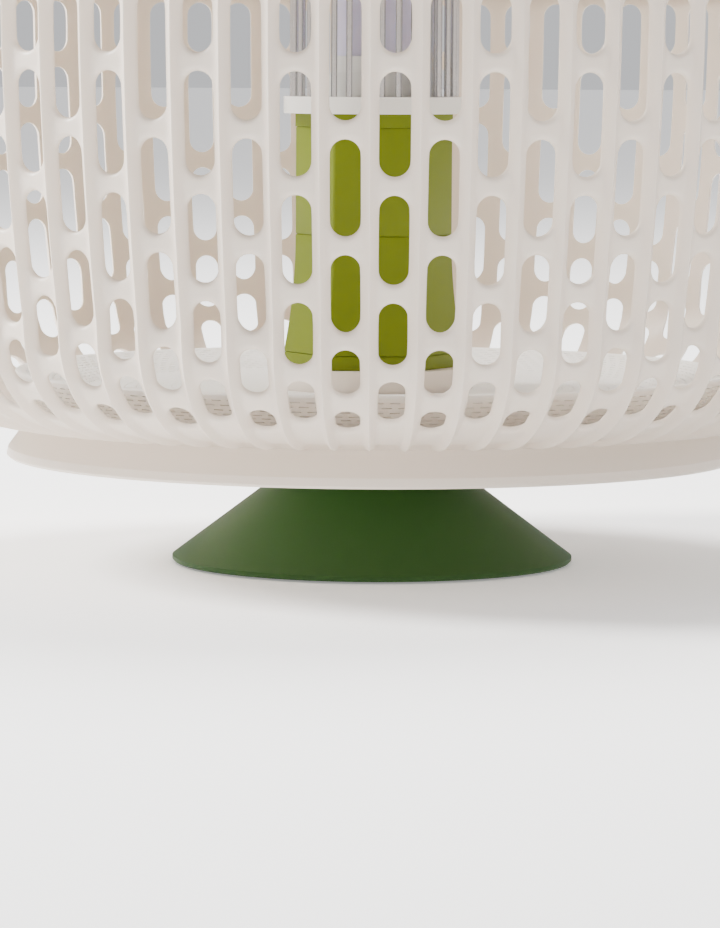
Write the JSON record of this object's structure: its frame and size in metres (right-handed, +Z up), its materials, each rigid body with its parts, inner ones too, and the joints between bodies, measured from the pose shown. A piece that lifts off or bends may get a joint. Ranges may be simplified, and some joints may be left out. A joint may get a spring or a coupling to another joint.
{
  "type": "electric bug zapper",
  "caption": "Free-standing insect zapper: slotted white bowl-and-dome cage round a green hexagonal column with lamp and wire grid, on a conical green foot.",
  "frame": {"origin": "centre of the rubber pads' underside, on the surface that the zapper stands on", "axes": "+Z up along the column's axis; -Y is the front, where a flat of the hexagonal column faces; the inlet is at the back, +Y"},
  "size_m": [0.3132, 0.3132, 0.3205],
  "materials": {
    "green_foot": "satin moulded dark green plastic with a fine grain",
    "lime_column": "satin moulded olive-lime plastic",
    "ivory_cage": "satin warm-white moulded plastic",
    "ivory_dish": "smooth satin warm-white moulded plastic",
    "white_tray": "satin white moulded plastic",
    "grey_plastic": "matte dark grey plastic",
    "black_plastic": "matte black plastic",
    "rubber_pad": "matte black rubber",
    "steel": "zinc-plated steel",
    "weight_steel": "dull pressed steel",
    "insulator": "smooth white insulating plastic",
    "lamp_glass": "frosted violet-white lamp glass",
    "wire": "bright steel wire",
    "board": "green lacquered circuit board",
    "winding": "amber winding tape and lacquered core",
    "capacitor": "blue epoxy coating",
    "button": "smooth ivory plastic"
  },
  "bodies": {
    "base": {"foot_shell": "green_foot", "foot_plate": "grey_plastic", "rubber_pads": "rubber_pad", "foot_screws": "steel", "ballast_ring": "weight_steel", "switch_block": "black_plastic", "inlet_socket": "black_plastic", "dish": "ivory_dish", "neck_screws": "steel", "cage_lower": "ivory_cage", "cage_screws": "steel", "pedestal": "ivory_dish", "column_base": "lime_column", "column_flare": "lime_column", "column_body": "lime_column", "column_cap": "lime_column", "column_screws": "steel", "circuit_board": "board", "transformer": "winding", "capacitors": "capacitor", "lamp_holder": "insulator", "lamp_base": "insulator", "lamp_tube": "lamp_glass", "grid_base": "insulator", "grid_top": "insulator", "outer_wires": "wire", "inner_wires": "wire", "grid_bolts": "steel", "grid_cap": "lime_column"},
    "button": {"power_button": "button"},
    "tray": {"tray": "white_tray"},
    "cage_top": {"cage_upper": "ivory_cage", "top_cap": "green_foot", "cap_screws": "steel"},
    "ring": {"carry_ring": "green_foot"}
  },
  "joints": [
    {"name": "button_press", "type": "slide", "parent": "base", "child": "button", "axis": [0.5, 0.866, 0], "range_m": [-0.002, 0], "stiffness_N_per_m": 500},
    {"name": "tray_lift", "type": "slide", "parent": "base", "child": "tray", "axis": [0, 0, 1], "range_m": [0, 0.15]},
    {"name": "cage_top_lift", "type": "slide", "parent": "base", "child": "cage_top", "axis": [0, 0, 1], "range_m": [0, 0.15]},
    {"name": "ring_swing", "type": "hinge", "parent": "cage_top", "child": "ring", "pos_m": [0, 0, 0.3155], "axis": [1, 0, 0], "range_deg": [0, 180]}
  ]
}
